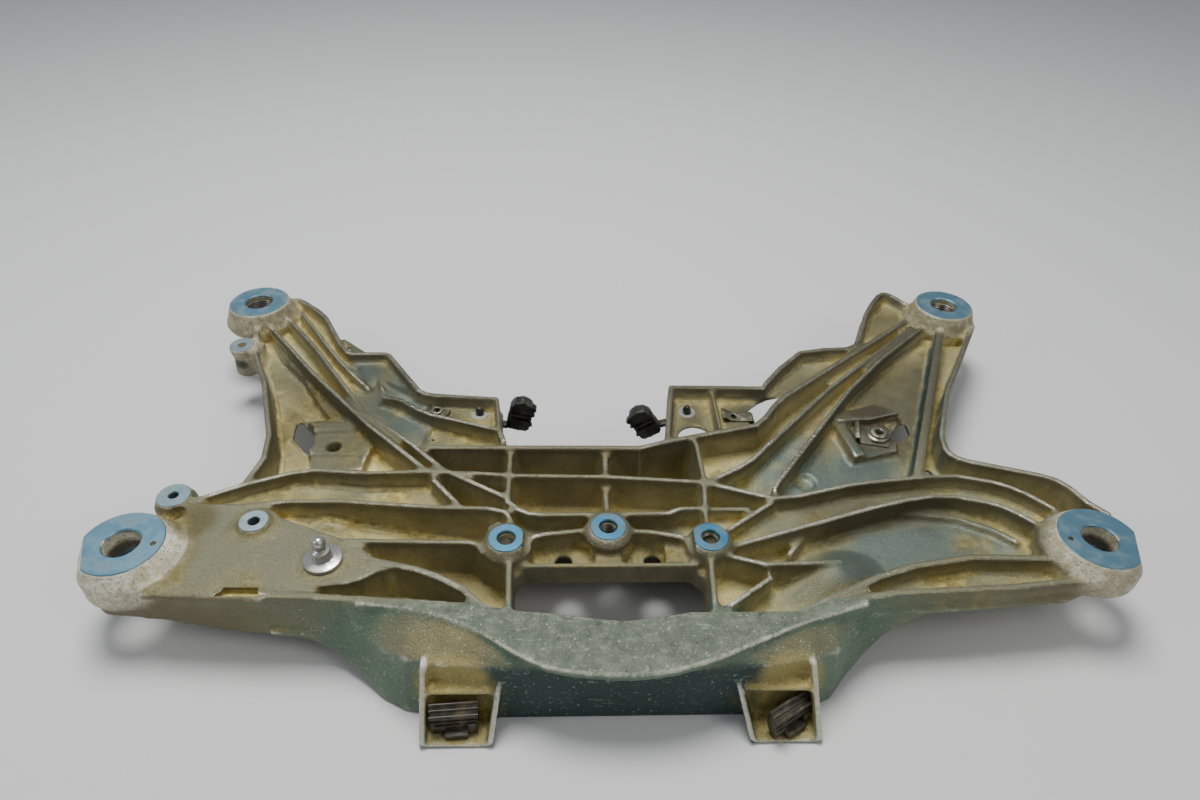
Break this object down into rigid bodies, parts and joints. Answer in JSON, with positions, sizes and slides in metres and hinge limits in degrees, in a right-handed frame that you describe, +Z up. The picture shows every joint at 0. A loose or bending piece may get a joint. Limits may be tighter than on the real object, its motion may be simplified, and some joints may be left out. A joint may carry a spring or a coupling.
{
  "type": "cast subframe carrier",
  "caption": "Wide ribbed die-cast aluminium carrier with machined corner bosses, threaded middle bosses, a window, short feet and plastic clips.",
  "frame": {"origin": "middle of the bounding box, on the floor that the casting lies on", "axes": "+X along the front beam to the right as seen from the feet, +Y from the feet to the rear arms, +Z up out of the ribbed side towards the machined faces"},
  "size_m": [0.924, 0.5679, 0.1053],
  "materials": {
    "cast_aluminium": "as cast, weathered, with machined faces",
    "turned_steel": "turned",
    "insert_steel": "threaded",
    "zinc_plated_sheet": "zinc plated, dull",
    "black_plastic": "moulded, slight sheen",
    "dark_clip_plastic": "moulded, dusty"
  },
  "bodies": {
    "root": {"carrier_casting": "cast_aluminium", "locating_stud": "turned_steel", "rear_left_thread_insert": "insert_steel", "rear_right_thread_insert": "insert_steel", "left_boss_thread_insert": "insert_steel", "centre_boss_thread_insert": "insert_steel", "right_boss_thread_insert": "insert_steel", "rear_left_cable_clip": "black_plastic", "rear_right_cable_clip": "black_plastic", "front_left_foot_clip": "dark_clip_plastic", "front_right_foot_clip": "dark_clip_plastic", "right_bracket_nut": "turned_steel", "nut_retainer": "zinc_plated_sheet", "rear_right_spring_nut": "zinc_plated_sheet", "rear_left_spring_nut": "zinc_plated_sheet"}
  },
  "joints": []
}
